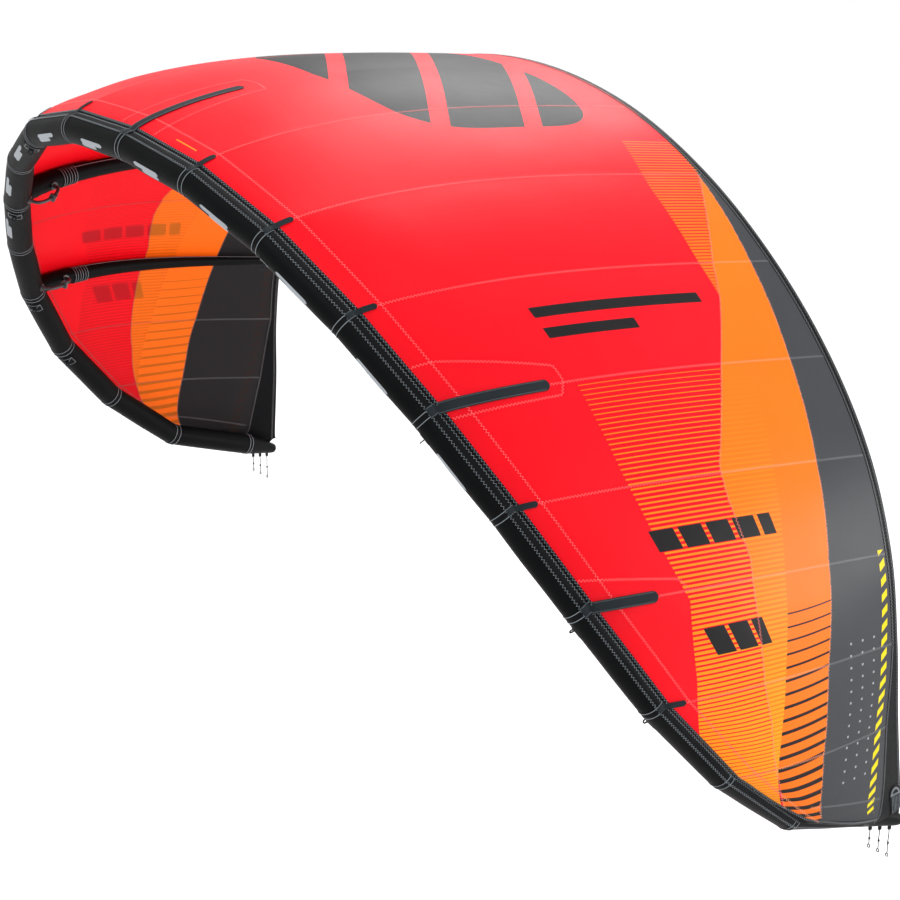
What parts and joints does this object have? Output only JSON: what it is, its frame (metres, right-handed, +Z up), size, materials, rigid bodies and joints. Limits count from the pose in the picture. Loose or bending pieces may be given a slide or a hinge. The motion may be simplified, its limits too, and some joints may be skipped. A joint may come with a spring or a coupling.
{
  "type": "kitesurf kite",
  "caption": "Inflatable leading-edge kite with a curved arch tube, tapered air struts, a panelled cambered canopy, air hoses with clips, valves and line loops.",
  "frame": {"origin": "axis of the leading edge tube at the middle strut", "axes": "+X along the span to one wingtip, +Y from the leading edge back to the trailing edge, +Z up with the wingtips pointing down"},
  "size_m": [4.0734, 1.8632, 2.5393],
  "materials": {
    "sleeve_cloth": "matte woven polyester with a soft sheen",
    "bladder_film": "thin translucent film",
    "seam_tape": "woven tape with light stitching",
    "joint_cloth": "woven polyester with zigzag stitching",
    "red_cloth": "coated ripstop",
    "orange_cloth": "coated ripstop",
    "grey_cloth": "coated ripstop",
    "hem_cloth": "heavy woven polyester",
    "webbing": "woven webbing",
    "line": "braided line",
    "hose_plastic": "flexible hose",
    "clip_plastic": "moulded plastic",
    "valve_plastic": "moulded plastic",
    "zip": "moulded coil"
  },
  "bodies": {
    "airframe": {"bridle_loops": "webbing", "bridle_patches": "seam_tape", "canopy_centre_panel": "red_cloth", "canopy_grey_panel_left": "grey_cloth", "canopy_grey_panel_right": "grey_cloth", "canopy_orange_panel_left": "orange_cloth", "canopy_orange_panel_right": "orange_cloth", "canopy_red_outer_panel_left": "red_cloth", "canopy_red_outer_panel_right": "red_cloth", "canopy_red_shoulder_panel_left": "red_cloth", "canopy_red_shoulder_panel_right": "red_cloth", "dump_valve": "valve_plastic", "hose_clip_bodies": "clip_plastic", "hose_ports": "hose_plastic", "inflate_valve": "valve_plastic", "leading_edge_bladder": "bladder_film", "leading_edge_joint_strip_left": "joint_cloth", "leading_edge_joint_strip_right": "joint_cloth", "leading_edge_seam_tapes": "seam_tape", "leading_edge_sleeve_centre": "sleeve_cloth", "leading_edge_sleeve_left": "sleeve_cloth", "leading_edge_sleeve_right": "sleeve_cloth", "leading_edge_zip": "zip", "long_strut_straps": "webbing", "rear_line_anchors": "webbing", "short_seam_straps": "webbing", "strut_air_hoses": "hose_plastic", "strut_bladder_centre": "bladder_film", "strut_bladder_inner_left": "bladder_film", "strut_bladder_inner_right": "bladder_film", "strut_bladder_outer_left": "bladder_film", "strut_bladder_outer_right": "bladder_film", "strut_end_flaps": "seam_tape", "strut_sleeve_centre": "sleeve_cloth", "strut_sleeve_inner_left": "sleeve_cloth", "strut_sleeve_inner_right": "sleeve_cloth", "strut_sleeve_outer_left": "sleeve_cloth", "strut_sleeve_outer_right": "sleeve_cloth", "strut_stitch_bands": "seam_tape", "trailing_edge_band_left": "hem_cloth", "trailing_edge_band_right": "hem_cloth", "wingtip_panel_left": "hem_cloth", "wingtip_panel_right": "hem_cloth", "wingtip_patch_left": "hem_cloth", "wingtip_patch_right": "hem_cloth"},
    "hose_clip_lever_centre": {"hose_clip_lever_centre": "clip_plastic"},
    "hose_clip_lever_inner_right": {"hose_clip_lever_inner_right": "clip_plastic"},
    "hose_clip_lever_inner_left": {"hose_clip_lever_inner_left": "clip_plastic"},
    "hose_clip_lever_outer_right": {"hose_clip_lever_outer_right": "clip_plastic"},
    "hose_clip_lever_outer_left": {"hose_clip_lever_outer_left": "clip_plastic"},
    "inflate_valve_cap": {"inflate_valve_cap": "valve_plastic"},
    "dump_valve_cap": {"dump_valve_cap": "valve_plastic"},
    "zip_slider": {"zip_slider": "zip"},
    "rear_line_front_right": {"rear_line_front_right": "line"},
    "rear_line_front_left": {"rear_line_front_left": "line"},
    "rear_line_middle_right": {"rear_line_middle_right": "line"},
    "rear_line_middle_left": {"rear_line_middle_left": "line"},
    "rear_line_rear_right": {"rear_line_rear_right": "line"},
    "rear_line_rear_left": {"rear_line_rear_left": "line"}
  },
  "joints": [
    {"name": "hose_clip_lever_centre_turn", "type": "hinge", "parent": "airframe", "child": "hose_clip_lever_centre", "pos_m": [0.03579, 0.12401, -0.05921], "axis": [-0.0132, 0.8753, 0.4834], "range_deg": [0, 110]},
    {"name": "hose_clip_lever_inner_right_turn", "type": "hinge", "parent": "airframe", "child": "hose_clip_lever_inner_right", "pos_m": [1.2268, 0.35723, -0.55709], "axis": [0.4884, 0.864, 0.1224], "range_deg": [0, 110]},
    {"name": "hose_clip_lever_inner_left_turn", "type": "hinge", "parent": "airframe", "child": "hose_clip_lever_inner_left", "pos_m": [-1.2268, 0.35723, -0.55709], "axis": [0.4884, -0.864, -0.1224], "range_deg": [0, 110]},
    {"name": "hose_clip_lever_outer_right_turn", "type": "hinge", "parent": "airframe", "child": "hose_clip_lever_outer_right", "pos_m": [1.66589, 0.61071, -1.08846], "axis": [0.5211, 0.8519, -0.052], "range_deg": [0, 110]},
    {"name": "hose_clip_lever_outer_left_turn", "type": "hinge", "parent": "airframe", "child": "hose_clip_lever_outer_left", "pos_m": [-1.66589, 0.61071, -1.08846], "axis": [0.5211, -0.8519, 0.052], "range_deg": [0, 110]},
    {"name": "inflate_valve_cap_turn", "type": "hinge", "parent": "airframe", "child": "inflate_valve_cap", "pos_m": [0.1759, 0.05832, -0.05596], "axis": [0.0444, 0.6188, 0.7843], "range_deg": [0, 150]},
    {"name": "dump_valve_cap_turn", "type": "hinge", "parent": "airframe", "child": "dump_valve_cap", "pos_m": [-0.17191, 0.05819, -0.05563], "axis": [0.0444, -0.6188, -0.7843], "range_deg": [0, 150]},
    {"name": "zip_slider_slide", "type": "slide", "parent": "airframe", "child": "zip_slider", "axis": [0.997, 0.0219, -0.0737], "range_m": [0, 0.216]},
    {"name": "rear_line_front_right_swing", "type": "hinge", "parent": "airframe", "child": "rear_line_front_right", "pos_m": [1.96366, 1.67692, -2.26508], "axis": [0, 1, 0], "range_deg": [-50, 50]},
    {"name": "rear_line_front_left_swing", "type": "hinge", "parent": "airframe", "child": "rear_line_front_left", "pos_m": [-1.96366, 1.67692, -2.26508], "axis": [0, 1, 0], "range_deg": [-50, 50]},
    {"name": "rear_line_middle_right_swing", "type": "hinge", "parent": "airframe", "child": "rear_line_middle_right", "pos_m": [1.97082, 1.71898, -2.27681], "axis": [0, 1, 0], "range_deg": [-50, 50]},
    {"name": "rear_line_middle_left_swing", "type": "hinge", "parent": "airframe", "child": "rear_line_middle_left", "pos_m": [-1.97082, 1.71898, -2.27681], "axis": [0, 1, 0], "range_deg": [-50, 50]},
    {"name": "rear_line_rear_right_swing", "type": "hinge", "parent": "airframe", "child": "rear_line_rear_right", "pos_m": [1.97812, 1.76112, -2.28858], "axis": [0, 1, 0], "range_deg": [-50, 50]},
    {"name": "rear_line_rear_left_swing", "type": "hinge", "parent": "airframe", "child": "rear_line_rear_left", "pos_m": [-1.97812, 1.76112, -2.28858], "axis": [0, 1, 0], "range_deg": [-50, 50]}
  ]
}
